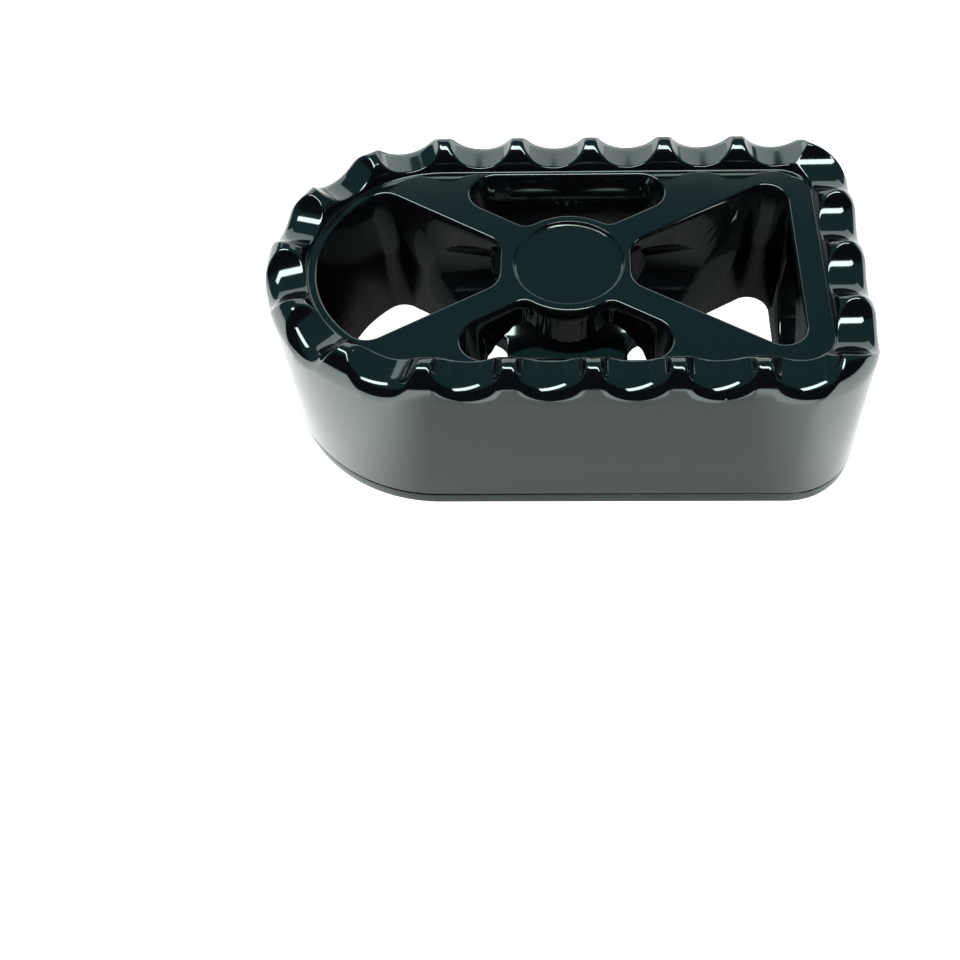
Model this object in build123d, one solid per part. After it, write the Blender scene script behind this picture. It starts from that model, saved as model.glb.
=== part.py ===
from build123d import *
import os
from math import atan2, cos, radians, sin, tan

# A motorbike toe peg milled from one billet. It lies on its base at z = 0, its length runs along X, and
# the origin is the middle of the base. Sizes are in millimetres.

# Outline
peg_length = 70.0
peg_width = 40.0
peg_height = 24.2
end_corner_radius = 8.7
base_edge_break = 0.35

# Rim: the arch of a tooth, seen along the rim
rim_thickness = 4.9
crest_width = 1.1
crest_inset = 1.85
crest_crown = 0.12
outer_arch_height = 3.8
web_depth = 3.05
web_bevel = 0.2

# Scallops between the teeth
scallop_depth = 2.5
scallop_radius = 4.25
scallop_lip = 2.1
scallop_lip_turn = 70.0
scallop_lip_steps = 2
side_pitch = 9.1
bow_scallops = 6
side_scallops = 5
end_pitch = 8.3
end_scallops = 4

# Hub
hub_x = 0.5
hub_recess_radius = 6.45
hub_recess_depth = 0.5
hub_recess_flare = 0.3
hub_boss_radius = 7.55

# Windows, which widen away from the hub, and the slots beside it; x is measured from the hub
opening_edge_break = 0.3
window_corner_radius = 2.65
end_window_near_x = 7.35
end_window_far_x = 26.6
end_window_mouth = 6.25
end_window_flare = 30.5
bow_window_near_x = 8.1
bow_window_mouth = 6.4
bow_window_flare = 31.0
bow_wall = 6.0
slot_outer_wall = 5.5
slot_end_radius = 2.95
slot_shoulder_radius = 1.6
spoke_width = 3.42

# Bores along the length: the wide one is as large as its floor and roof leave it
bore_floor = 2.75
bore_roof = 1.3
end_hole_radius = 6.35
end_hole_lead_in = 0.6

# How far a cut runs on past the face it opens, and how close two numbers are when they are the same
cut_overrun = 1.0
same = 0.001

half_length = peg_length / 2
half_width = peg_width / 2
bow_x = half_width - half_length
web_top = peg_height - web_depth
bore_radius = (web_top - bore_roof - bore_floor) / 2
bore_height = bore_floor + bore_radius
scallop_floor = peg_height - scallop_depth
end_corner_x = half_length - end_corner_radius
end_corner_y = half_width - end_corner_radius
end_wall_x = hub_x + end_window_far_x


def outline_wire(inset=0.0):
    """The outer edge of the peg, or a line that runs inset from it all round."""
    bow = half_width - inset
    end_x = half_length - inset
    corner = end_corner_radius - inset
    return Wire([
        Line((bow_x, bow), (end_corner_x, bow)),
        CenterArc((end_corner_x, end_corner_y), corner, 0, 90),
        Line((end_x, end_corner_y), (end_x, -end_corner_y)),
        CenterArc((end_corner_x, -end_corner_y), corner, 270, 90),
        Line((end_corner_x, -bow), (bow_x, -bow)),
        CenterArc((bow_x, 0), bow, 90, 180),
    ])


def leaning_arc(start, crest):
    """An arc that leaves start straight up and leans over to the crest."""
    run = crest[0] - start[0]
    rise = crest[1] - start[1]
    lean = 2 * atan2(abs(run), rise)
    radius = rise / sin(lean)
    side = 1 if run > 0 else -1
    middle = (start[0] + side * radius * (1 - cos(lean / 2)), start[1] + radius * sin(lean / 2))
    return ThreePointArc(start, middle, crest)


def rim_section():
    """The rim cut across at a tooth: x is the distance in from the wall, y the height."""
    wall_top = (0, peg_height - outer_arch_height)
    crest_out = (crest_inset, peg_height - crest_crown)
    crest_top = (crest_inset + crest_width / 2, peg_height)
    crest_in = (crest_inset + crest_width, peg_height - crest_crown)
    foot = (rim_thickness, web_top + web_bevel)
    inner = rim_thickness + web_bevel
    return make_face([
        Line((base_edge_break, 0), (0, base_edge_break)),
        Line((0, base_edge_break), wall_top),
        leaning_arc(wall_top, crest_out),
        ThreePointArc(crest_out, crest_top, crest_in),
        leaning_arc(foot, crest_in),
        Line(foot, (inner, web_top)),
        Line((inner, web_top), (inner, 0)),
        Line((inner, 0), (base_edge_break, 0)),
    ])


def rim():
    """The rim with its arched top, carried round the outline."""
    start = Plane(origin=(bow_x, half_width, 0), x_dir=(0, -1, 0), z_dir=(-1, 0, 0))
    return sweep(start * rim_section(), path=outline_wire())


def web():
    """The flat middle of the peg, which reaches into the rim."""
    overlap = rim_thickness + web_bevel / 2
    return extrude(make_face(outline_wire(overlap).edges()), amount=web_top)


def scallop_cutter():
    """A round cut that runs in along X from the wall at x = 0, where it flares out over the stepped lip."""
    axis = Axis((0, 0, scallop_floor + scallop_radius), (1, 0, 0))
    turns = [radians(scallop_lip_turn) * step / scallop_lip_steps for step in range(scallop_lip_steps + 1)]
    mouth_radius = scallop_radius + scallop_lip
    lip_length = scallop_lip * sin(turns[-1])
    lip = [(lip_length - scallop_lip * sin(turn), mouth_radius - scallop_lip * cos(turn)) for turn in turns]
    outside = (-cut_overrun, lip[-1][1] + cut_overrun * tan(turns[-1]))
    inside = rim_thickness + web_bevel
    points = [(inside, 0), (inside, scallop_radius), *lip, outside, (-cut_overrun, 0)]
    profile = make_face(Polyline(*points, close=True).edges())
    section = Plane(origin=axis.position, x_dir=(1, 0, 0), z_dir=(0, 1, 0)) * profile
    return revolve(section, axis=axis)


def scallop_places():
    """Where each scallop meets the wall, turned so that X points in."""
    places = []
    for i in range(bow_scallops):
        angle = 90 + (i + 0.5) * 180 / bow_scallops
        x = bow_x + half_width * cos(radians(angle))
        places.append(Location((x, half_width * sin(radians(angle)), 0), (0, 0, angle + 180)))
    for i in range(side_scallops):
        x = bow_x + (i + 0.5) * side_pitch
        places.append(Location((x, half_width, 0), (0, 0, 270)))
        places.append(Location((x, -half_width, 0), (0, 0, 90)))
    for i in range(end_scallops):
        y = (i - (end_scallops - 1) / 2) * end_pitch
        places.append(Location((half_length, y, 0), (0, 0, 180)))
    return places


def wedge(near_x, far_x, mouth, flare):
    """A flat wedge along +X from the hub, mouth wide at near_x and opening by flare degrees a side."""
    near_y = mouth / 2
    far_y = near_y + (far_x - near_x) * tan(radians(flare))
    points = [(near_x, -near_y), (far_x, -far_y), (far_x, far_y), (near_x, near_y)]
    return make_face(Polyline(*points, close=True).edges())


def end_window():
    """The window towards the square end."""
    shape = wedge(end_window_near_x, end_window_far_x, end_window_mouth, end_window_flare)
    return Pos(hub_x, 0) * fillet(shape.vertices(), window_corner_radius)


def bow_window():
    """The window towards the round end, whose far side runs along the rim."""
    radius = half_width - bow_wall
    shape = Rot(0, 0, 180) * wedge(bow_window_near_x, half_length + hub_x, bow_window_mouth, bow_window_flare)
    shape = Pos(hub_x, 0) * shape & Pos(bow_x, 0) * Circle(radius)
    return fillet(shape.vertices(), window_corner_radius)


def slot_side(mouth, near_x, flare):
    """The line beside a spoke that the middle of a slot corner runs along: its height at the hub and its slope."""
    slope = tan(radians(flare))
    return mouth / 2 - near_x * slope + (spoke_width + slot_end_radius) / cos(radians(flare)), slope


def slot():
    """The slot behind the hub: straight along the rim, bulging in round the boss of the hub."""
    right_start, right_slope = slot_side(end_window_mouth, end_window_near_x, end_window_flare)
    left_start, left_slope = slot_side(bow_window_mouth, bow_window_near_x, bow_window_flare)
    bottom_x = (left_start - right_start) / (left_slope + right_slope)
    corners = Polyline(
        ((left_start - half_width) / left_slope, half_width),
        ((half_width - right_start) / right_slope, half_width),
        (bottom_x, right_start + bottom_x * right_slope),
        close=True,
    )
    outer = half_width - slot_outer_wall - slot_end_radius
    straight = half_length - bow_x
    lane = Pos(bow_x, 0) * Circle(outer) + Pos(bow_x + straight / 2, 0) * Rectangle(straight, 2 * outer)
    room = Pos(hub_x, 0) * make_face(corners.edges()) & lane
    shape = offset(room, slot_end_radius, kind=Kind.ARC) - Pos(hub_x, 0) * Circle(hub_boss_radius)
    shoulder = min(slot_shoulder_radius, (half_width - slot_outer_wall - hub_boss_radius) / 4)
    return offset(offset(shape, -shoulder), shoulder)


def openings():
    """The outlines that are cut through the web to the base."""
    rear = slot()
    return [end_window(), bow_window(), rear, mirror(rear, about=Plane.XZ)]


def web_break(body):
    """The top edges of the openings, where they leave the web."""
    level = [f for f in body.faces().filter_by(Plane.XY) if abs(f.center().Z - web_top) < same]
    flat = max(level, key=lambda face: face.area)
    return [edge for wire in flat.inner_wires() for edge in wire.edges()]


def hub_recess():
    """The shallow round recess in the hub, a little wider at its mouth."""
    cut = Cone(hub_recess_radius - hub_recess_flare, hub_recess_radius, hub_recess_depth)
    return Pos(hub_x, 0, web_top - hub_recess_depth / 2) * cut


def bore_run(near_x, mouth, flare):
    """How far from the hub a window is wide enough to let the bore out."""
    return near_x + max(0, bore_radius - mouth / 2) / tan(radians(flare)) + cut_overrun


def bore():
    """The wide bore through the hub, open into both windows."""
    left = hub_x - bore_run(bow_window_near_x, bow_window_mouth, bow_window_flare)
    right = hub_x + bore_run(end_window_near_x, end_window_mouth, end_window_flare)
    return Pos((left + right) / 2, 0, bore_height) * Rot(0, 90, 0) * Cylinder(bore_radius, right - left)


def end_hole():
    """The hole in the square end, in line with the bore, with a bevelled lead-in at its mouth."""
    middle = (half_length + end_wall_x) / 2
    run = half_length - end_wall_x + 2 * cut_overrun
    hole = Pos(middle, 0, bore_height) * Rot(0, 90, 0) * Cylinder(end_hole_radius, run)
    flare = Cone(end_hole_radius, end_hole_radius + end_hole_lead_in, end_hole_lead_in)
    return hole + Pos(half_length - end_hole_lead_in / 2, 0, bore_height) * Rot(0, 90, 0) * flare


def peg_body():
    """The whole peg, one piece."""
    body = rim() + web()
    for outline in openings():
        body -= extrude(outline, amount=web_top)
    body = chamfer(web_break(body), opening_edge_break)
    body = body - hub_recess() - bore() - end_hole()
    cutter = scallop_cutter()
    for place in scallop_places():
        body -= place * cutter
    return body


os.makedirs("parts", exist_ok=True)
export_step(peg_body(), "parts/peg_body.step")
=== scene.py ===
from math import atan2, cos, hypot, pi, radians, sin, sqrt, tan

import bmesh
import bpy
import numpy as np
from bpy.props import FloatProperty, FloatVectorProperty, IntProperty, PointerProperty
from mathutils import Matrix, Vector
from mathutils.geometry import delaunay_2d_cdt


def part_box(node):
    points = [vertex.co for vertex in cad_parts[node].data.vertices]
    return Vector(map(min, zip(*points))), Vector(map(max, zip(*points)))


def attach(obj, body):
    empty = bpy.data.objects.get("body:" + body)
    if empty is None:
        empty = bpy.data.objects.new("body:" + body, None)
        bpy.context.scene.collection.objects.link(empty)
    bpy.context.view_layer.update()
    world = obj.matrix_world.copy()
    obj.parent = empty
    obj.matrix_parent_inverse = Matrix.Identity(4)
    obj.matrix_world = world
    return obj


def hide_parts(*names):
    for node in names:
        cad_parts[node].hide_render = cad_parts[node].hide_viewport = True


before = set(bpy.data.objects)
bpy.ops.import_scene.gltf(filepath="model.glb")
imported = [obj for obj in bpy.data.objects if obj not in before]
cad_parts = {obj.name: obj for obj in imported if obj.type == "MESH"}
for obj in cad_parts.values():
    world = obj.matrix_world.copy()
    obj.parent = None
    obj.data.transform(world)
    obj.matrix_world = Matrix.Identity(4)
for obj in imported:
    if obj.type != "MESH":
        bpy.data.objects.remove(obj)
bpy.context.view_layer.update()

bl_info = {
    "name": "Toe peg",
    "version": (1, 0, 0),
    "blender": (4, 5, 0),
    "location": "3D View > Sidebar > Toe peg",
    "description": "Machines a toe peg from its sizes, finishes it and sets its stage",
    "category": "Object",
}

BODY = "root"
MM = 0.001

# Outline of the billet, in millimetres; the three overall sizes come from the box of the solid
HALF_LENGTH, HALF_WIDTH, HEIGHT = (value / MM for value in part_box("peg_body")[1])
CORNER_RADIUS = 8.7

# Band round the base, with a groove above it
BASE_ROUND = 0.2
BASE_BAND_INSET = 0.15
BASE_BAND_TOP = 1.6
BASE_BAND_ROUND = 0.08
BASE_GROOVE_INSET = 0.7
BASE_GROOVE_TOP = 1.9
BASE_GROOVE_EDGE = 0.4

# Rim: the arch of a tooth, seen along the rim, and the foot where it meets the web
RIM_THICKNESS = 4.9
CREST_WIDTH = 1.1
CREST_INSET = 2.05
CREST_CROWN = 0.12
OUTER_ARCH_HEIGHT = 3.8
WEB_DEPTH = 3.05
WEB_TOP = HEIGHT - WEB_DEPTH
FOOT_ROUND = 0.2

# Scallops between the teeth
SCALLOP_DEPTH = 2.5
SCALLOP_RADIUS = 4.25
SCALLOP_LIP = 2.1
SCALLOP_AXIS = HEIGHT - SCALLOP_DEPTH + SCALLOP_RADIUS
BOW_SCALLOPS = 6
SIDE_SCALLOPS = 5
SIDE_PITCH = 9.1
END_SCALLOPS = 4
END_PITCH = 8.3

# Hub
HUB_X = 0.5
RECESS_RADIUS = 6.45
RECESS_DEPTH = 0.5
RECESS_FLARE = 0.3
RECESS_ROUND = 0.12
RECESS_SIDES = 160
BOSS_RADIUS = 7.55

# Windows and slots; near and far are measured from the middle of the hub
OPENING_ROUND = 0.3
OPENING_STEP = 0.35
WINDOW_CORNER = 2.65
END_WINDOW = {"near": 7.35, "far": 26.6, "mouth": 6.25, "flare": radians(30.5)}
BOW_WINDOW = {"near": 8.1, "mouth": 6.4, "flare": radians(31.0)}
BOW_WALL = 6.0
SLOT_WALL = 5.5
SLOT_END = 2.95
SHOULDER = 1.6
SPOKE = 3.65

# Bores along the length
BORE_RADIUS = 8.55
BORE_HEIGHT = 11.3
BORE_LEFT = -17.5
END_HOLE_RADIUS = 6.35
END_HOLE_LEAD_IN = 0.6
THREAD_OVERRUN = 1.0
LEAD_IN_OVERRUN = 0.4

# How many steps a rounded edge has
BASE_STEPS = 3
BAND_STEPS = 2
GROOVE_STEPS = 6
FOOT_STEPS = 3
OPENING_STEPS = 4
RECESS_STEPS = 3

# How the mesh is reckoned: a depth that no point has, how often the search for a height is halved, the sharpest
# edge and the smallest depth it tells from none, how near counts as level or as one point, and from which angle
# on an edge is drawn sharp
FAR = 1000.0
HALVINGS = 34
SHARPEST = 1e-6
ON_SURFACE = 1e-9
LEVEL = 1e-4
SAME_POINT = 1e-7
WELD = 1e-3
SHARP_FROM = radians(38)

# Finish: how far the roughness strays from its mean, and how much the tool marks are drawn out upright
ROUGHNESS_SPREAD = 0.3
TOOL_MARK_RISE = 0.03

# World: reflections that point less far up and back than this meet a dark front, which ends in a soft edge
DARK_FRONT_UP_TO = radians(62)
DARK_FRONT_EDGE = (-0.02, 0.12)

# Lamps, in metres: where their middle is and how large they are
STRIP_PLACE = (-0.06, -0.1, 0.45)
STRIP_SIZE = (0.62, 0.12)
STRIP_TURN = radians(-28)
PANEL_PLACE = (0.0, 0.5, 0.2375)
PANEL_SIZE = (0.92, 0.475)

# Floor: half its side in metres, then in millimetres where the painted glow that reflections see beside the peg
# starts and ends, and how wide the edge of the painted shadow under the peg is
FLOOR_HALF = 6.0
GLOW_MIDDLE_X = 3.0
GLOW_START = 19.0
GLOW_END = 36.0
PAINTED_SHADOW_FADE = 2.0
PAINTED_SHADOW_CORNER_FADE = 2.5

# Camera: picture side, focal length and middle of the lens in pixels, place in millimetres, turns in degrees
PICTURE = 960
FOCAL = 1239.0
CENTRE_X = 550.0
CENTRE_Y = 350.0
CAMERA_PLACE = (1.8, -97.9, 128.42)
YAW = -2.26
PITCH = 51.69
ROLL = -2.07
SENSOR_WIDTH = 36.0
CLIP_START = 0.005

BOW_X = HALF_WIDTH - HALF_LENGTH
CORNER_X = HALF_LENGTH - CORNER_RADIUS
CORNER_Y = HALF_WIDTH - CORNER_RADIUS
END_WALL_X = HUB_X + END_WINDOW["far"]


class PegDetail(bpy.types.PropertyGroup):
    """The fine form of the machined body."""
    tooth_round: FloatProperty(
        name="Tooth edges", description="How far the edges of the teeth are rounded", subtype="DISTANCE",
        default=0.22 * MM)
    mesh_step: FloatProperty(
        name="Mesh step", description="Distance between two points along the rim", subtype="DISTANCE",
        default=0.19 * MM)
    rib_pitch: FloatProperty(
        name="Rib pitch", description="Distance from rib to rib in the wide bore", subtype="DISTANCE",
        default=1.0 * MM)
    rib_depth: FloatProperty(
        name="Rib depth", description="How deep the grooves between the ribs are", subtype="DISTANCE",
        default=0.12 * MM)
    thread_pitch: FloatProperty(
        name="Thread pitch", description="Distance from ridge to ridge in the end hole", subtype="DISTANCE",
        default=1.27 * MM)
    thread_depth: FloatProperty(
        name="Thread depth", description="How deep the grooves of the thread are", subtype="DISTANCE",
        default=0.5 * MM)
    bore_sides: IntProperty(
        name="Bore sides", description="How many sides make a bore round", default=112, min=12)


class PegFinish(bpy.types.PropertyGroup):
    """The colour and the polish of the anodised metal."""
    black: FloatVectorProperty(
        name="Black", description="Colour of the dyed oxide layer", subtype="COLOR",
        size=3, min=0.0, max=1.0, default=(0.0035, 0.0045, 0.006))
    gloss: FloatProperty(
        name="Gloss", description="Refractive index of the sealed oxide, which sets how much it mirrors",
        min=1.0, max=3.0, default=2.1)
    sheen_tint: FloatVectorProperty(
        name="Tint", description="Colour that the oxide lends to reflections", subtype="COLOR",
        size=3, min=0.0, max=1.0, default=(0.82, 1.0, 0.95))
    roughness: FloatProperty(
        name="Roughness", description="How soft the reflections are", min=0.0, max=1.0, default=0.08)
    cloud_scale: FloatProperty(
        name="Clouds", description="How many clouds of duller and finer polish there are in a metre", default=160.0)
    tool_mark_scale: FloatProperty(
        name="Tool mark scale", description="How many cutter marks there are in a metre", default=1400.0)
    tool_mark_height: FloatProperty(
        name="Tool marks", description="Height of the fine cutter marks", subtype="DISTANCE",
        default=0.0006 * MM)


class StageSettings(bpy.types.PropertyGroup):
    """The floor and the lamps."""
    floor_tone: FloatProperty(
        name="Floor", description="How pale the floor is", min=0.0, max=1.0, default=0.9)
    floor_ahead: FloatProperty(
        name="Floor ahead", description="Share of its tone that the free floor shows to reflections",
        min=0.0, max=1.0, default=0.72)
    # Painted shadow: how dark the floor under the peg looks to reflections
    painted_shade_under: FloatProperty(
        name="Floor under", description="Share of its tone that the floor under the peg shows to reflections",
        min=0.0, max=1.0, default=0.2)
    ceiling: FloatVectorProperty(
        name="Ceiling", description="Colour of the dim ceiling to reflections", subtype="COLOR",
        size=3, min=0.0, max=1.0, default=(0.04, 0.11, 0.125))
    strip_glow: FloatProperty(
        name="Strip lamp", description="How bright the strip overhead is, where 1 is white", default=8.5)
    panel_glow: FloatProperty(
        name="Rear panel", description="How bright the panel behind is, where 1 is white", default=1.0)
    room_light: FloatProperty(
        name="Room light", description="How bright the room is to what it lights", min=0.0, max=1.0, default=0.3)


def outline_columns(step):
    """Points of the outer edge, counterclockwise from above, each with the direction that points in from it."""
    places, inward = [], []

    def arc(centre, radius, first, last):
        count = round(radius * abs(last - first) / step)
        for turn in np.linspace(first, last, count, endpoint=False):
            places.append((centre[0] + radius * cos(turn), centre[1] + radius * sin(turn)))
            inward.append((-cos(turn), -sin(turn)))

    def line(start, end, direction):
        count = round(hypot(end[0] - start[0], end[1] - start[1]) / step)
        for share in np.linspace(0, 1, count, endpoint=False):
            places.append((start[0] + share * (end[0] - start[0]), start[1] + share * (end[1] - start[1])))
            inward.append(direction)

    arc((BOW_X, 0), HALF_WIDTH, pi / 2, 3 * pi / 2)
    line((BOW_X, -HALF_WIDTH), (CORNER_X, -HALF_WIDTH), (0, 1))
    arc((CORNER_X, -CORNER_Y), CORNER_RADIUS, -pi / 2, 0)
    line((HALF_LENGTH, -CORNER_Y), (HALF_LENGTH, CORNER_Y), (-1, 0))
    arc((CORNER_X, CORNER_Y), CORNER_RADIUS, 0, pi / 2)
    line((CORNER_X, HALF_WIDTH), (BOW_X, HALF_WIDTH), (0, -1))
    return np.array(places), np.array(inward)


def scallop_places():
    """Where the axis of each scallop meets the wall, and the direction that it runs in."""
    places = []
    for i in range(BOW_SCALLOPS):
        turn = pi / 2 + (i + 0.5) * pi / BOW_SCALLOPS
        places.append((BOW_X + HALF_WIDTH * cos(turn), HALF_WIDTH * sin(turn), -cos(turn), -sin(turn)))
    for i in range(SIDE_SCALLOPS):
        x = BOW_X + (i + 0.5) * SIDE_PITCH
        places.append((x, HALF_WIDTH, 0.0, -1.0))
        places.append((x, -HALF_WIDTH, 0.0, 1.0))
    for i in range(END_SCALLOPS):
        places.append((HALF_LENGTH, (i - (END_SCALLOPS - 1) / 2) * END_PITCH, -1.0, 0.0))
    return places


def leaning_arc(run, rise):
    """The radius and the turn of an arc that starts straight up and leans over by run while it climbs rise."""
    lean = 2 * atan2(run, rise)
    return rise / sin(lean), lean


WALL_TOP = HEIGHT - OUTER_ARCH_HEIGHT
FOOT_TOP = WEB_TOP + FOOT_ROUND
CREST_INNER = CREST_INSET + CREST_WIDTH
CREST_RADIUS = (CREST_WIDTH ** 2 / 4 + CREST_CROWN ** 2) / (2 * CREST_CROWN)
OUTER_RADIUS, OUTER_LEAN = leaning_arc(CREST_INSET, HEIGHT - CREST_CROWN - WALL_TOP)
INNER_RADIUS, INNER_LEAN = leaning_arc(RIM_THICKNESS - CREST_INNER, HEIGHT - CREST_CROWN - FOOT_TOP)


def depth_in_arch(inset, height):
    """How deep a point of the rim lies below the arched surface of a tooth."""
    crest_inset = CREST_INSET + CREST_WIDTH / 2
    above_wall = np.maximum(height - WALL_TOP, 0)
    outer = OUTER_RADIUS - np.hypot(inset - OUTER_RADIUS, above_wall)
    above_foot = np.maximum(height - FOOT_TOP, 0)
    inner = INNER_RADIUS - np.hypot(inset - (RIM_THICKNESS - INNER_RADIUS), above_foot)
    above_centre = np.maximum(height - (HEIGHT - CREST_RADIUS), 0)
    crest = CREST_RADIUS - np.hypot(inset - crest_inset, above_centre)
    crest = np.where(np.abs(inset - crest_inset) < CREST_WIDTH / 2, crest, np.inf)
    return np.minimum(np.minimum(outer, inner), crest)


def depth_beside_scallops(x, y, height, places):
    """How deep a point lies beside the nearest scallop and its rounded lip."""
    depth = np.full(np.broadcast(x, height).shape, FAR)
    mouth = SCALLOP_RADIUS + SCALLOP_LIP
    for place_x, place_y, in_x, in_y in places:
        along = (x - place_x) * in_x + (y - place_y) * in_y
        across = (x - place_x) * in_y - (y - place_y) * in_x
        reach = np.hypot(across, height - SCALLOP_AXIS)
        lip = SCALLOP_LIP - np.hypot(along - SCALLOP_LIP, reach - mouth)
        lip = np.where(reach < mouth, lip, FAR)
        here = np.where(along < SCALLOP_LIP, lip, reach - SCALLOP_RADIUS)
        near = (np.abs(across) < 2 * SCALLOP_RADIUS) & (along < 2 * RIM_THICKNESS)
        depth = np.where(near, np.minimum(depth, here), depth)
    return depth


def rim_height(x, y, inset, rounding, places):
    """The height of the rim's surface over each point, found by halving, with its edges rounded."""
    low = np.full(x.shape, WALL_TOP - 2 * SCALLOP_LIP)
    high = np.full(x.shape, HEIGHT + CREST_CROWN)
    softness = np.maximum(rounding * np.clip(inset / SCALLOP_LIP * 2, 0, 1), SHARPEST)
    for _ in range(HALVINGS):
        middle = (low + high) / 2
        arch = depth_in_arch(inset, middle)
        beside = depth_beside_scallops(x, y, middle, places)
        share = np.clip(softness - np.abs(arch - beside), 0, None) / softness
        depth = np.minimum(arch, beside) - share ** 2 * softness / 4
        inside = depth >= -ON_SURFACE
        low = np.where(inside, middle, low)
        high = np.where(inside, high, middle)
    return low


def rim_insets(step):
    """The insets of the lines that run along the rim, from the wall to the foot."""
    outer = np.linspace(0, OUTER_LEAN, round(OUTER_RADIUS * OUTER_LEAN / step) + 1)
    crest = np.linspace(CREST_INSET, CREST_INNER, round(CREST_WIDTH / step) + 1)
    inner = np.linspace(INNER_LEAN, 0, round(INNER_RADIUS * INNER_LEAN / step) + 1)
    return np.concatenate([
        OUTER_RADIUS * (1 - np.cos(outer)),
        crest[1:-1],
        RIM_THICKNESS - INNER_RADIUS * (1 - np.cos(inner)),
    ])


def arc_points(arcs, offset, step):
    """A closed outline of arcs joined by straight lines, moved out by offset; a negative radius bulges in."""
    points = []
    for centre_x, centre_y, radius, first, last in arcs:
        count = max(3, round(abs(radius * (last - first)) / step))
        for turn in np.linspace(first, last, count + 1):
            reach = abs(radius) + offset * (1 if radius > 0 else -1)
            points.append((centre_x + reach * cos(turn), centre_y + reach * sin(turn)))
    return np.array(points)


def end_window_arcs():
    """The corners of the window towards the square end."""
    near, far, flare = END_WINDOW["near"], END_WINDOW["far"], END_WINDOW["flare"]
    half = END_WINDOW["mouth"] / 2 - WINDOW_CORNER / cos(flare)
    near_x, far_x = near + WINDOW_CORNER, far - WINDOW_CORNER
    near_y = half + (near_x - near) * tan(flare)
    far_y = half + (far_x - near) * tan(flare)
    side = pi / 2 + flare
    return [
        (HUB_X + far_x, far_y, WINDOW_CORNER, 0, side),
        (HUB_X + near_x, near_y, WINDOW_CORNER, side, pi),
        (HUB_X + near_x, -near_y, WINDOW_CORNER, pi, 2 * pi - side),
        (HUB_X + far_x, -far_y, WINDOW_CORNER, 2 * pi - side, 2 * pi),
    ]


def line_meets_circle(start, slope, centre_x, radius, side):
    """Where the line y = start + slope * x crosses a circle on the X axis; side picks the crossing."""
    a = 1 + slope ** 2
    b = slope * start - centre_x
    c = centre_x ** 2 + start ** 2 - radius ** 2
    x = (-b + side * sqrt(b * b - a * c)) / a
    return x, start + slope * x


def bow_window_arcs():
    """The corners of the window towards the round end, and its side along the rim."""
    near, flare = BOW_WINDOW["near"], BOW_WINDOW["flare"]
    start = BOW_WINDOW["mouth"] / 2 - near * tan(flare) - WINDOW_CORNER / cos(flare)
    near_x = near + WINDOW_CORNER
    near_y = start + near_x * tan(flare)
    radius = HALF_WIDTH - BOW_WALL
    centre_x = BOW_X - HUB_X
    far_x, far_y = line_meets_circle(start, -tan(flare), centre_x, radius - WINDOW_CORNER, -1)
    side = pi / 2 - flare
    bow = atan2(far_y, far_x - centre_x)
    return [
        (HUB_X - near_x, near_y, WINDOW_CORNER, 0, side),
        (HUB_X + far_x, far_y, WINDOW_CORNER, side, bow),
        (BOW_X, 0, radius, bow, 2 * pi - bow),
        (HUB_X + far_x, -far_y, WINDOW_CORNER, 2 * pi - bow, 2 * pi - side),
        (HUB_X - near_x, -near_y, WINDOW_CORNER, 2 * pi - side, 2 * pi),
    ]


def spoke_line(window, clearance):
    """The line at clearance from a spoke's side: its height at the hub and its slope."""
    flare = window["flare"]
    return window["mouth"] / 2 - window["near"] * tan(flare) + (SPOKE + clearance) / cos(flare), tan(flare)


def slot_arcs():
    """The corners of the slot behind the hub, and its side round the boss."""
    lane = HALF_WIDTH - SLOT_WALL - SLOT_END
    right_start, right_slope = spoke_line(END_WINDOW, SLOT_END)
    left_start, left_slope = spoke_line(BOW_WINDOW, SLOT_END)
    right_x = (lane - right_start) / right_slope
    left_x = (left_start - lane) / left_slope
    right_side = END_WINDOW["flare"] - pi / 2
    left_side = 3 * pi / 2 - BOW_WINDOW["flare"]
    start, slope = spoke_line(END_WINDOW, SHOULDER)
    right = line_meets_circle(start, slope, 0, BOSS_RADIUS + SHOULDER, 1)
    start, slope = spoke_line(BOW_WINDOW, SHOULDER)
    left = line_meets_circle(start, -slope, 0, BOSS_RADIUS + SHOULDER, -1)
    left_turn = atan2(left[1], left[0])
    right_turn = atan2(right[1], right[0])
    return [
        (HUB_X + right_x, lane, SLOT_END, right_side, pi / 2),
        (HUB_X + left_x, lane, SLOT_END, pi / 2, left_side),
        (HUB_X + left[0], left[1], SHOULDER, left_side, left_turn + pi),
        (HUB_X, 0, -BOSS_RADIUS, left_turn, right_turn),
        (HUB_X + right[0], right[1], SHOULDER, right_turn + pi, right_side + 2 * pi),
    ]


def mirrored(points):
    """The same outline on the other side of the long axis, still counterclockwise."""
    return points[::-1] * (1, -1)


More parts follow.
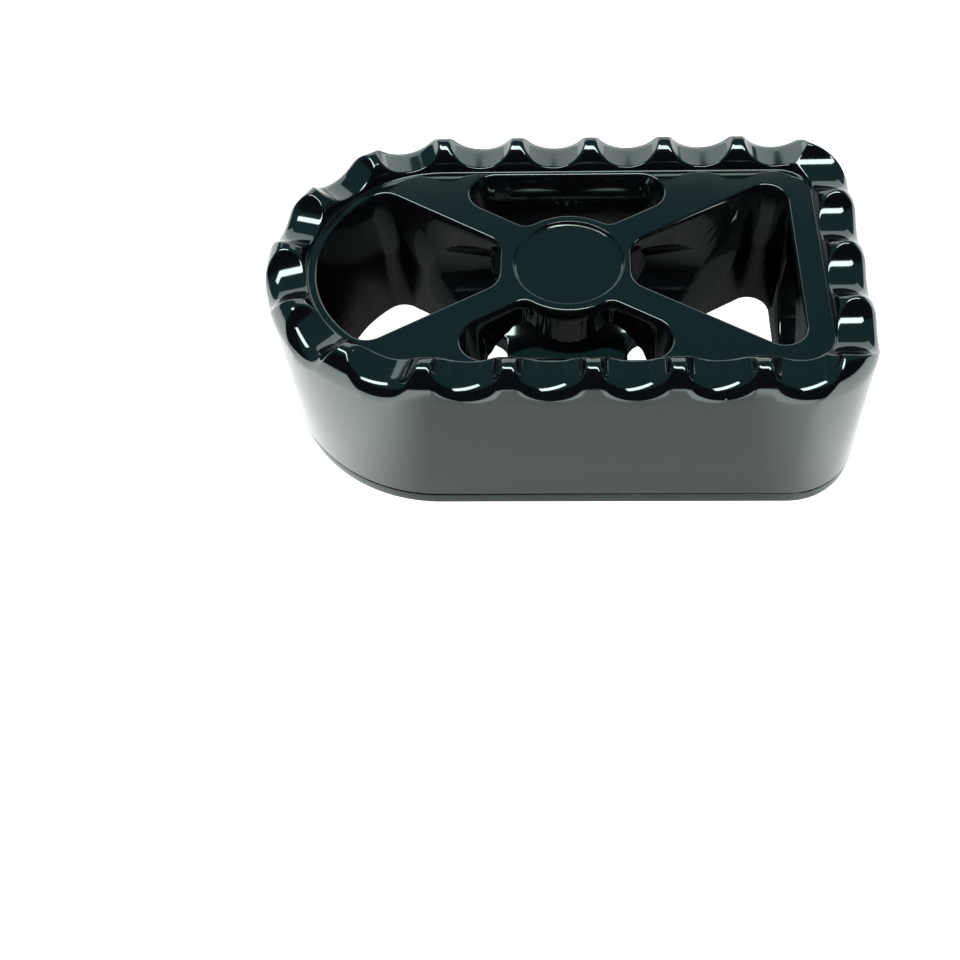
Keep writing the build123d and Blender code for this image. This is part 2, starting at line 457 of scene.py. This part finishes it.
class MeshParts:
    """Collects points and faces, and keeps where each row of points starts."""

    def __init__(self):
        self.points = []
        self.faces = []
        self.count = 0

    def row(self, flat, height):
        """Adds one closed row of points; height is one number or one for each point."""
        heights = np.broadcast_to(height, (len(flat),))
        self.points.append(np.column_stack([flat, heights]))
        self.count += len(flat)
        return np.arange(self.count - len(flat), self.count)

    def skin(self, rows):
        """Joins rows that have the same number of points, each to the next."""
        for lower, upper in zip(rows, rows[1:]):
            quads = np.column_stack([lower, np.roll(lower, -1), np.roll(upper, -1), upper])
            self.faces.extend(quads.tolist())

    def level(self, outer, holes, facing_up):
        """Fills the flat space between one outer row and the rows round its holes."""
        rows = [outer, *holes]
        order = np.concatenate(rows)
        flat = np.concatenate(self.points)[order][:, :2]
        edges = []
        start = 0
        for row in rows:
            ids = np.arange(start, start + len(row))
            edges.extend(np.column_stack([ids, np.roll(ids, -1)]).tolist())
            start += len(row)
        verts, _, triangles, origins, _, _ = delaunay_2d_cdt([Vector(p) for p in flat], edges, [], 0, SAME_POINT)
        verts = np.array([tuple(v) for v in verts])
        triangles = np.array(triangles)
        middles = verts[triangles].mean(axis=1)
        keep = np.ones(len(triangles), bool)
        start = len(outer)
        for hole in holes:
            keep &= ~inside_outline(middles, flat[start:start + len(hole)])
            start += len(hole)
        ids = order[np.array([origin[0] for origin in origins])]
        kept = ids[triangles[keep]]
        self.faces.extend((kept if facing_up else kept[:, ::-1]).tolist())

    def mesh(self, name):
        """The finished mesh, in metres."""
        mesh = bpy.data.meshes.new(name)
        points = np.concatenate(self.points) * MM
        mesh.from_pydata(points.tolist(), [], self.faces)
        mesh.validate()
        return mesh


def inside_outline(points, outline):
    """Which points lie inside a closed outline, by counting the edges to their right."""
    x, y = points[:, 0][:, None], points[:, 1][:, None]
    x1, y1 = outline[:, 0], outline[:, 1]
    x2, y2 = np.roll(x1, -1), np.roll(y1, -1)
    with np.errstate(divide="ignore", invalid="ignore"):
        crossing = ((y1 > y) != (y2 > y)) & (x < (x2 - x1) * (y - y1) / (y2 - y1) + x1)
    return crossing.sum(axis=1) % 2 == 1


def quarter(count):
    """Turns from zero to a right angle."""
    return np.linspace(0, pi / 2, count + 1)


def base_rows(parts, edge, inward):
    """The rows of the wall: rounded base edge, band, groove and the foot of the plain wall."""
    rows = []
    for turn in quarter(BASE_STEPS):
        inset = BASE_BAND_INSET + BASE_ROUND * (1 - sin(turn))
        rows.append(parts.row(edge + inset * inward, BASE_ROUND * (1 - cos(turn))))
    for turn in quarter(BAND_STEPS):
        inset = BASE_BAND_INSET + BASE_BAND_ROUND * (1 - cos(turn))
        rows.append(parts.row(edge + inset * inward, BASE_BAND_TOP - BASE_BAND_ROUND * (1 - sin(turn))))
    for height in (BASE_BAND_TOP, BASE_GROOVE_TOP):
        rows.append(parts.row(edge + BASE_GROOVE_INSET * inward, height))
    for turn in quarter(GROOVE_STEPS):
        inset = BASE_GROOVE_EDGE * (1 - sin(turn))
        rows.append(parts.row(edge + inset * inward, BASE_GROOVE_TOP + BASE_GROOVE_EDGE * (1 - cos(turn))))
    return rows


def rim_rows(parts, edge, inward, step, rounding):
    """The rows over the toothed rim, from the top of the wall down to the web."""
    places = scallop_places()
    rows = [parts.row(edge, WALL_TOP - SCALLOP_LIP)]
    for inset in rim_insets(step):
        flat = edge + inset * inward
        heights = rim_height(flat[:, 0], flat[:, 1], np.full(len(flat), inset), rounding, places)
        rows.append(parts.row(flat, heights))
    for turn in quarter(FOOT_STEPS)[1:]:
        inset = RIM_THICKNESS + FOOT_ROUND * (1 - cos(turn))
        rows.append(parts.row(edge + inset * inward, FOOT_TOP - FOOT_ROUND * sin(turn)))
    return rows


def opening_rows(parts):
    """The walls of the windows and slots, each from its rounded edge in the web down to the base."""
    slot = slot_arcs()
    outlines = [
        lambda offset: arc_points(end_window_arcs(), offset, OPENING_STEP),
        lambda offset: arc_points(bow_window_arcs(), offset, OPENING_STEP),
        lambda offset: arc_points(slot, offset, OPENING_STEP),
        lambda offset: mirrored(arc_points(slot, offset, OPENING_STEP)),
    ]
    openings = []
    for outline in outlines:
        walls = []
        for turn in quarter(OPENING_STEPS):
            offset = OPENING_ROUND * (1 - sin(turn))
            walls.append(parts.row(outline(offset), WEB_TOP - OPENING_ROUND * (1 - cos(turn))))
        walls.append(parts.row(outline(0), 0.0))
        openings.append(walls)
    return openings


def recess_rows(parts):
    """The wall of the shallow recess in the hub, with soft edges."""
    turns = np.linspace(0, 2 * pi, RECESS_SIDES, endpoint=False)
    circle = np.column_stack([np.cos(turns), np.sin(turns)])
    floor_radius = RECESS_RADIUS - RECESS_FLARE
    steps = quarter(RECESS_STEPS)
    profile = [(RECESS_RADIUS + RECESS_ROUND * (1 - sin(t)), RECESS_ROUND * (1 - cos(t))) for t in steps]
    profile += [(floor_radius + RECESS_ROUND * (1 - sin(t)), RECESS_DEPTH - RECESS_ROUND * cos(t)) for t in steps]
    return [parts.row((HUB_X, 0) + radius * circle, WEB_TOP - drop) for radius, drop in profile]


def billet_mesh(detail):
    """The whole body but for its bores: rim with teeth, web with its openings, base."""
    parts = MeshParts()
    step = detail.mesh_step / MM
    edge, inward = outline_columns(step)
    rows = base_rows(parts, edge, inward)
    rows += rim_rows(parts, edge, inward, step, detail.tooth_round / MM)
    parts.skin(rows)
    openings = opening_rows(parts)
    for walls in openings:
        parts.skin(walls)
    recess = recess_rows(parts)
    parts.skin(recess)
    parts.faces.append(recess[-1].tolist())
    parts.level(rows[-1], [walls[0] for walls in openings] + [recess[0]], facing_up=True)
    parts.level(rows[0], [walls[-1] for walls in openings], facing_up=False)
    return parts.mesh("billet")


def maths(tree, operation, *values):
    """The result of a sum on one or two values, each a number or a socket."""
    node = tree.nodes.new("ShaderNodeMath")
    node.operation = operation
    for slot, value in zip(node.inputs, values):
        if isinstance(value, (int, float)):
            slot.default_value = value
        else:
            tree.links.new(value, slot)
    return node.outputs[0]


def ramp(tree, value, start, end, low=0.0, high=1.0, kind="LINEAR"):
    """Carries a value over from low at start to high at end, and holds it before and after."""
    node = tree.nodes.new("ShaderNodeMapRange")
    node.interpolation_type = kind
    for name, setting in (("From Min", start), ("From Max", end), ("To Min", low), ("To Max", high)):
        node.inputs[name].default_value = setting
    tree.links.new(value, node.inputs["Value"])
    return node.outputs["Result"]


def blend(tree, share, first, second):
    """Blends two colours, each a colour or a socket, from first at a share of 0 to second at 1."""
    node = tree.nodes.new("ShaderNodeMix")
    node.data_type = "RGBA"
    tree.links.new(share, node.inputs["Factor"])
    for name, colour in (("A", first), ("B", second)):
        if isinstance(colour, tuple):
            node.inputs[name].default_value = (*colour, 1.0)
        else:
            tree.links.new(colour, node.inputs[name])
    return node.outputs["Result"]


def groove_tree(material):
    """A tree that makes a round bar with grooves round it, all along its length, out of one repeated ring."""
    tree = bpy.data.node_groups.new("grooved_bar", "GeometryNodeTree")
    face = tree.interface
    face.new_socket("Geometry", in_out="OUTPUT", socket_type="NodeSocketGeometry")
    sockets = {}
    kinds = {"Radius": "Float", "Depth": "Float", "Pitch": "Float", "Count": "Int", "Sides": "Int"}
    for name, kind in kinds.items():
        sockets[name] = face.new_socket(name, in_out="INPUT", socket_type="NodeSocket" + kind).identifier
    nodes, link = tree.nodes, tree.links.new
    inputs = nodes.new("NodeGroupInput").outputs

    def upward(value):
        """A move along Z by a value."""
        node = nodes.new("ShaderNodeCombineXYZ")
        link(value, node.inputs["Z"])
        return node.outputs[0]

    deep = maths(tree, "ADD", inputs["Radius"], inputs["Depth"])
    half = maths(tree, "MULTIPLY", inputs["Pitch"], 0.5)
    ring = nodes.new("GeometryNodeJoinGeometry")
    for bottom, top, lift in ((inputs["Radius"], deep, 0.0), (deep, inputs["Radius"], 1.0)):
        cone = nodes.new("GeometryNodeMeshCone")
        cone.fill_type = "NONE"
        link(inputs["Sides"], cone.inputs["Vertices"])
        link(bottom, cone.inputs["Radius Bottom"])
        link(top, cone.inputs["Radius Top"])
        link(half, cone.inputs["Depth"])
        moved = nodes.new("GeometryNodeTransform")
        link(cone.outputs["Mesh"], moved.inputs["Geometry"])
        link(upward(maths(tree, "MULTIPLY", half, lift)), moved.inputs["Translation"])
        link(moved.outputs["Geometry"], ring.inputs["Geometry"])
    line = nodes.new("GeometryNodeMeshLine")
    link(inputs["Count"], line.inputs["Count"])
    link(upward(inputs["Pitch"]), line.inputs["Offset"])
    copies = nodes.new("GeometryNodeInstanceOnPoints")
    link(line.outputs["Mesh"], copies.inputs["Points"])
    link(ring.outputs["Geometry"], copies.inputs["Instance"])
    bar = nodes.new("GeometryNodeJoinGeometry")
    link(copies.outputs["Instances"], bar.inputs["Geometry"])
    length = maths(tree, "MULTIPLY", inputs["Pitch"], inputs["Count"])
    for share in (0.0, 1.0):
        lid = nodes.new("GeometryNodeMeshCircle")
        lid.fill_type = "NGON"
        link(inputs["Sides"], lid.inputs["Vertices"])
        link(inputs["Radius"], lid.inputs["Radius"])
        moved = nodes.new("GeometryNodeTransform")
        link(lid.outputs["Mesh"], moved.inputs["Geometry"])
        link(upward(maths(tree, "MULTIPLY", length, share)), moved.inputs["Translation"])
        link(moved.outputs["Geometry"], bar.inputs["Geometry"])
    realize = nodes.new("GeometryNodeRealizeInstances")
    paint = nodes.new("GeometryNodeSetMaterial")
    paint.inputs["Material"].default_value = material
    link(bar.outputs["Geometry"], realize.inputs["Geometry"])
    link(realize.outputs["Geometry"], paint.inputs["Geometry"])
    link(paint.outputs["Geometry"], nodes.new("NodeGroupOutput").inputs["Geometry"])
    return tree, sockets


def along_bore(x):
    """The turn and the move that lay something along Z on the axis of the bores, from x on."""
    return Matrix.Translation((x * MM, 0, BORE_HEIGHT * MM)) @ Matrix.Rotation(pi / 2, 4, "Y")


def grooved_bar(name, tree, sockets, start_x, values):
    """A closed grooved bar along X from start_x, at the height of the bores, as a plain mesh object."""
    holder = bpy.data.objects.new(name, bpy.data.meshes.new(name))
    bpy.context.scene.collection.objects.link(holder)
    modifier = holder.modifiers.new("grooves", "NODES")
    modifier.node_group = tree
    for key, value in values.items():
        modifier[sockets[key]] = value
    bpy.context.view_layer.update()
    evaluated = holder.evaluated_get(bpy.context.evaluated_depsgraph_get())
    mesh = bpy.data.meshes.new_from_object(evaluated)
    holder.modifiers.remove(modifier)
    mesh.transform(along_bore(start_x))
    work = bmesh.new()
    work.from_mesh(mesh)
    bmesh.ops.remove_doubles(work, verts=work.verts, dist=WELD * MM)
    bmesh.ops.recalc_face_normals(work, faces=work.faces)
    work.to_mesh(mesh)
    work.free()
    holder.data = mesh
    return holder


def cut(piece, tools):
    """Cuts each tool out of the piece for good, and removes the tool."""
    for tool in tools:
        modifier = piece.modifiers.new("cut", "BOOLEAN")
        modifier.operation = "DIFFERENCE"
        modifier.solver = "EXACT"
        modifier.object = tool
        bpy.context.view_layer.update()
        evaluated = piece.evaluated_get(bpy.context.evaluated_depsgraph_get())
        mesh = bpy.data.meshes.new_from_object(evaluated)
        piece.modifiers.remove(modifier)
        piece.data = mesh
        bpy.data.objects.remove(tool)


def lead_in_tool(sides):
    """The bevelled mouth of the end hole, as a cone to cut away."""
    mesh = bpy.data.meshes.new("lead_in")
    work = bmesh.new()
    bmesh.ops.create_cone(
        work, cap_ends=True, segments=sides,
        radius1=(END_HOLE_RADIUS - LEAD_IN_OVERRUN) * MM,
        radius2=(END_HOLE_RADIUS + END_HOLE_LEAD_IN + LEAD_IN_OVERRUN) * MM,
        depth=(END_HOLE_LEAD_IN + 2 * LEAD_IN_OVERRUN) * MM)
    place = along_bore(HALF_LENGTH - END_HOLE_LEAD_IN / 2)
    bmesh.ops.transform(work, matrix=place, verts=work.verts)
    work.to_mesh(mesh)
    work.free()
    holder = bpy.data.objects.new("lead_in", mesh)
    bpy.context.scene.collection.objects.link(holder)
    return holder


def smooth_but_for_edges(piece, limit):
    """Shades the piece smooth, keeps edges sharper than limit, and lets the level faces stay flat."""
    mesh = piece.data
    mesh.shade_smooth()
    mesh.set_sharp_from_angle(angle=limit)
    points = np.empty(len(mesh.vertices) * 3, np.float32)
    mesh.vertices.foreach_get("co", points)
    heights = points.reshape(-1, 3)[:, 2] / MM
    normals = np.zeros((len(heights), 3))
    for level in (WEB_TOP, WEB_TOP - RECESS_DEPTH):
        normals[np.abs(heights - level) < LEVEL] = (0, 0, 1)
    mesh.normals_split_custom_set_from_vertices(normals.tolist())


class PEG_OT_body(bpy.types.Operator):
    """Machines the body: rim, teeth, web, openings and the two bores with their ridges."""
    bl_idname = "peg.body"
    bl_label = "Peg body"

    def execute(self, context):
        detail = context.scene.peg_detail
        finish = anodised_black(context.scene.peg_finish)
        piece = bpy.data.objects.new("machined_body", billet_mesh(detail))
        context.scene.collection.objects.link(piece)
        tree, sockets = groove_tree(finish)
        sides = detail.bore_sides
        ribs = {"Radius": BORE_RADIUS * MM, "Depth": detail.rib_depth, "Pitch": detail.rib_pitch,
                "Count": round(-2 * BORE_LEFT * MM / detail.rib_pitch), "Sides": sides}
        bore = grooved_bar("bore_tool", tree, sockets, BORE_LEFT, ribs)
        hole_start = END_WALL_X - THREAD_OVERRUN
        hole_length = (HALF_LENGTH + THREAD_OVERRUN - hole_start) * MM
        thread = {"Radius": END_HOLE_RADIUS * MM, "Depth": detail.thread_depth, "Pitch": detail.thread_pitch,
                  "Count": round(hole_length / detail.thread_pitch) + 1, "Sides": sides}
        hole = grooved_bar("thread_tool", tree, sockets, hole_start, thread)
        cut(piece, [bore, hole, lead_in_tool(sides)])
        smooth_but_for_edges(piece, SHARP_FROM)
        piece.data.materials.clear()
        piece.data.materials.append(finish)
        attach(piece, BODY)
        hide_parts("peg_body")
        return {"FINISHED"}


def new_material(name):
    """A material with only a shader and an output."""
    material = bpy.data.materials.new(name)
    material.use_nodes = True
    tree = material.node_tree
    tree.nodes.clear()
    shader = tree.nodes.new("ShaderNodeBsdfPrincipled")
    output = tree.nodes.new("ShaderNodeOutputMaterial")
    tree.links.new(shader.outputs["BSDF"], output.inputs["Surface"])
    return material, tree, shader


def anodised_black(finish):
    """Gloss black anodised aluminium: faint upright cutter streaks, fine grain and a slight change of polish."""
    material, tree, shader = new_material("gloss_black_anodised")
    nodes, link = tree.nodes, tree.links.new
    shader.inputs["Base Color"].default_value = (*finish.black, 1.0)
    shader.inputs["Metallic"].default_value = 0.0
    shader.inputs["IOR"].default_value = finish.gloss
    shader.inputs["Specular Tint"].default_value = (*finish.sheen_tint, 1.0)
    place = nodes.new("ShaderNodeTexCoord")
    cloud = nodes.new("ShaderNodeTexNoise")
    cloud.inputs["Scale"].default_value = finish.cloud_scale
    cloud.inputs["Detail"].default_value = 4.0
    link(place.outputs["Object"], cloud.inputs["Vector"])
    finest = finish.roughness * (1 - ROUGHNESS_SPREAD)
    dullest = finish.roughness * (1 + ROUGHNESS_SPREAD)
    polish = ramp(tree, cloud.outputs["Fac"], 0.0, 1.0, finest, dullest)
    link(polish, shader.inputs["Roughness"])
    upright = nodes.new("ShaderNodeMapping")
    upright.inputs["Scale"].default_value = (1.0, 1.0, TOOL_MARK_RISE)
    streak = nodes.new("ShaderNodeTexNoise")
    streak.inputs["Scale"].default_value = finish.tool_mark_scale
    streak.inputs["Detail"].default_value = 2.0
    link(place.outputs["Object"], upright.inputs["Vector"])
    link(upright.outputs["Vector"], streak.inputs["Vector"])
    marks = nodes.new("ShaderNodeBump")
    marks.inputs["Strength"].default_value = 1.0
    marks.inputs["Distance"].default_value = finish.tool_mark_height
    link(streak.outputs["Fac"], marks.inputs["Height"])
    link(marks.outputs["Normal"], shader.inputs["Normal"])
    return material


def soft_lamp(name, place, size, glow, turns):
    """A soft flat lamp at place, turned from shining down, as bright as glow times white."""
    lamp = bpy.data.lights.new(name, "AREA")
    lamp.shape = "RECTANGLE"
    lamp.size, lamp.size_y = size
    lamp.energy = glow * pi * size[0] * size[1]
    holder = bpy.data.objects.new(name, lamp)
    holder.location = place
    holder.rotation_euler = turns
    holder.visible_camera = False
    bpy.context.scene.collection.objects.link(holder)


class PEG_OT_stage(bpy.types.Operator):
    """Sets the floor, the lamps, the world and the camera."""
    bl_idname = "peg.stage"
    bl_label = "Stage"

    def execute(self, context):
        settings = context.scene.stage_settings
        context.scene.view_settings.view_transform = "Standard"
        make_floor(settings)
        make_world(settings)
        make_lamps(settings)
        make_camera()
        return {"FINISHED"}


def outside_painted_shadow(tree, x, y):
    """One where the floor lies free, falling to zero under the peg, whose outline it follows: the mask of the
    painted shadow under the peg.
    """
    gap = tree.nodes.new("ShaderNodeCombineXYZ")
    tree.links.new(maths(tree, "MINIMUM", maths(tree, "SUBTRACT", x, BOW_X * MM), 0.0), gap.inputs["X"])
    tree.links.new(y, gap.inputs["Y"])
    from_bow = tree.nodes.new("ShaderNodeVectorMath")
    from_bow.operation = "LENGTH"
    tree.links.new(gap.outputs[0], from_bow.inputs[0])
    slant = maths(tree, "ADD", x, maths(tree, "ABSOLUTE", y))
    corner = HALF_LENGTH + HALF_WIDTH - (2 - sqrt(2)) * CORNER_RADIUS
    round_end = ramp(tree, from_bow.outputs["Value"], (HALF_WIDTH - PAINTED_SHADOW_FADE) * MM, HALF_WIDTH * MM)
    square_end = ramp(tree, x, (HALF_LENGTH - PAINTED_SHADOW_FADE) * MM, HALF_LENGTH * MM)
    corners = ramp(tree, slant, (corner - PAINTED_SHADOW_CORNER_FADE) * MM, corner * MM)
    return maths(tree, "MAXIMUM", maths(tree, "MAXIMUM", round_end, square_end), corners)


def make_floor(settings):
    """A wide pale floor, white to the camera; reflections see a painted glow beside the peg, a dimmer tone ahead and
    a painted shadow under it.
    """
    mesh = bpy.data.meshes.new("floor")
    corners = [(-1, -1), (1, -1), (1, 1), (-1, 1)]
    mesh.from_pydata([(x * FLOOR_HALF, y * FLOOR_HALF, 0) for x, y in corners], [], [(0, 1, 2, 3)])
    floor = bpy.data.objects.new("floor", mesh)
    bpy.context.scene.collection.objects.link(floor)
    material, tree, shader = new_material("pale_floor")
    nodes, link = tree.nodes, tree.links.new
    shader.inputs["Roughness"].default_value = 0.8
    shader.inputs["Specular IOR Level"].default_value = 0.0
    shader.inputs["Emission Color"].default_value = (1.0, 1.0, 1.0, 1.0)
    ray = nodes.new("ShaderNodeLightPath").outputs
    place = nodes.new("ShaderNodeTexCoord")
    split = nodes.new("ShaderNodeSeparateXYZ")
    link(place.outputs["Object"], split.inputs[0])
    x, y = split.outputs["X"], split.outputs["Y"]
    free = outside_painted_shadow(tree, x, y)
    tone = settings.floor_tone
    # Painted shadow: to reflections the floor is darker under the peg, with a soft edge along its outline
    tone_with_painted_shadow = ramp(tree, free, 0.0, 1.0, settings.painted_shade_under * tone, settings.floor_ahead * tone)
    link(blend(tree, ray["Is Glossy Ray"], (tone,) * 3, tone_with_painted_shadow), shader.inputs["Base Color"])
    # Painted light: to reflections the floor glows beside the peg, standing in for bright side panels, and never
    # under the peg
    aside = maths(tree, "ABSOLUTE", maths(tree, "SUBTRACT", x, GLOW_MIDDLE_X * MM))
    glow = ramp(tree, aside, GLOW_START * MM, GLOW_END * MM, kind="SMOOTHSTEP")
    glow = maths(tree, "MULTIPLY", ray["Is Glossy Ray"], maths(tree, "MULTIPLY", glow, free))
    glow = maths(tree, "MAXIMUM", ray["Is Camera Ray"], glow)
    glow = maths(tree, "MAXIMUM", glow, ray["Is Transmission Ray"])
    link(glow, shader.inputs["Emission Strength"])
    mesh.materials.append(material)


def make_world(settings):
    """White to the camera, a dim ceiling and a dark front to reflections, and a plain glow to light things."""
    world = bpy.data.worlds.new("studio")
    bpy.context.scene.world = world
    world.use_nodes = True
    tree = world.node_tree
    background = tree.nodes["Background"]
    ray = tree.nodes.new("ShaderNodeLightPath").outputs
    place = tree.nodes.new("ShaderNodeTexCoord")
    overhead = tree.nodes.new("ShaderNodeVectorMath")
    overhead.operation = "DOT_PRODUCT"
    overhead.inputs[1].default_value = (0.0, sin(DARK_FRONT_UP_TO), cos(DARK_FRONT_UP_TO))
    tree.links.new(place.outputs["Generated"], overhead.inputs[0])
    ceiling = ramp(tree, overhead.outputs["Value"], *DARK_FRONT_EDGE)
    room = blend(tree, ceiling, (0.0, 0.0, 0.0), tuple(settings.ceiling))
    room = blend(tree, ray["Is Glossy Ray"], (settings.room_light,) * 3, room)
    room = blend(tree, ray["Is Camera Ray"], room, (1.0, 1.0, 1.0))
    tree.links.new(room, background.inputs["Color"])
    background.inputs["Strength"].default_value = 1.0


def make_lamps(settings):
    """A long strip lamp overhead, set askew, and a wide soft panel behind the peg."""
    soft_lamp("strip_lamp", STRIP_PLACE, STRIP_SIZE, settings.strip_glow, (0.0, 0.0, STRIP_TURN))
    soft_lamp("rear_panel", PANEL_PLACE, PANEL_SIZE, settings.panel_glow, (-pi / 2, 0.0, 0.0))


def make_camera():
    """The camera at the viewing angle of the photograph, for a square picture."""
    camera = bpy.data.cameras.new("camera")
    camera.sensor_width = SENSOR_WIDTH
    camera.lens = FOCAL / PICTURE * SENSOR_WIDTH
    camera.shift_x = (PICTURE / 2 - CENTRE_X) / PICTURE
    camera.shift_y = (CENTRE_Y - PICTURE / 2) / PICTURE
    camera.clip_start = CLIP_START
    holder = bpy.data.objects.new("camera", camera)
    turn = Matrix.Rotation(radians(-YAW), 4, "Z") @ Matrix.Rotation(radians(90 - PITCH), 4, "X")
    turn = turn @ Matrix.Rotation(radians(ROLL), 4, "Z")
    holder.matrix_world = Matrix.Translation(Vector(CAMERA_PLACE) * MM) @ turn
    bpy.context.scene.collection.objects.link(holder)
    bpy.context.scene.camera = holder


class PEG_PT_panel(bpy.types.Panel):
    """Lists the steps that machine the peg and set its stage."""
    bl_label = "Toe peg"
    bl_idname = "PEG_PT_panel"
    bl_space_type = "VIEW_3D"
    bl_region_type = "UI"
    bl_category = "Toe peg"

    def draw(self, context):
        column = self.layout.column()
        for step in STEPS:
            column.operator(step.bl_idname)


STEPS = (PEG_OT_body, PEG_OT_stage)
CLASSES = (PegDetail, PegFinish, StageSettings) + STEPS + (PEG_PT_panel,)


def register():
    """Registers the settings, the steps and the panel."""
    for item in CLASSES:
        bpy.utils.register_class(item)
    bpy.types.Scene.peg_detail = PointerProperty(type=PegDetail)
    bpy.types.Scene.peg_finish = PointerProperty(type=PegFinish)
    bpy.types.Scene.stage_settings = PointerProperty(type=StageSettings)


def unregister():
    """Takes away what register added."""
    del bpy.types.Scene.stage_settings
    del bpy.types.Scene.peg_finish
    del bpy.types.Scene.peg_detail
    for item in reversed(CLASSES):
        bpy.utils.unregister_class(item)


def main():
    """Runs the steps in order."""
    register()
    bpy.ops.peg.body()
    bpy.ops.peg.stage()


if __name__ == "__main__":
    main()
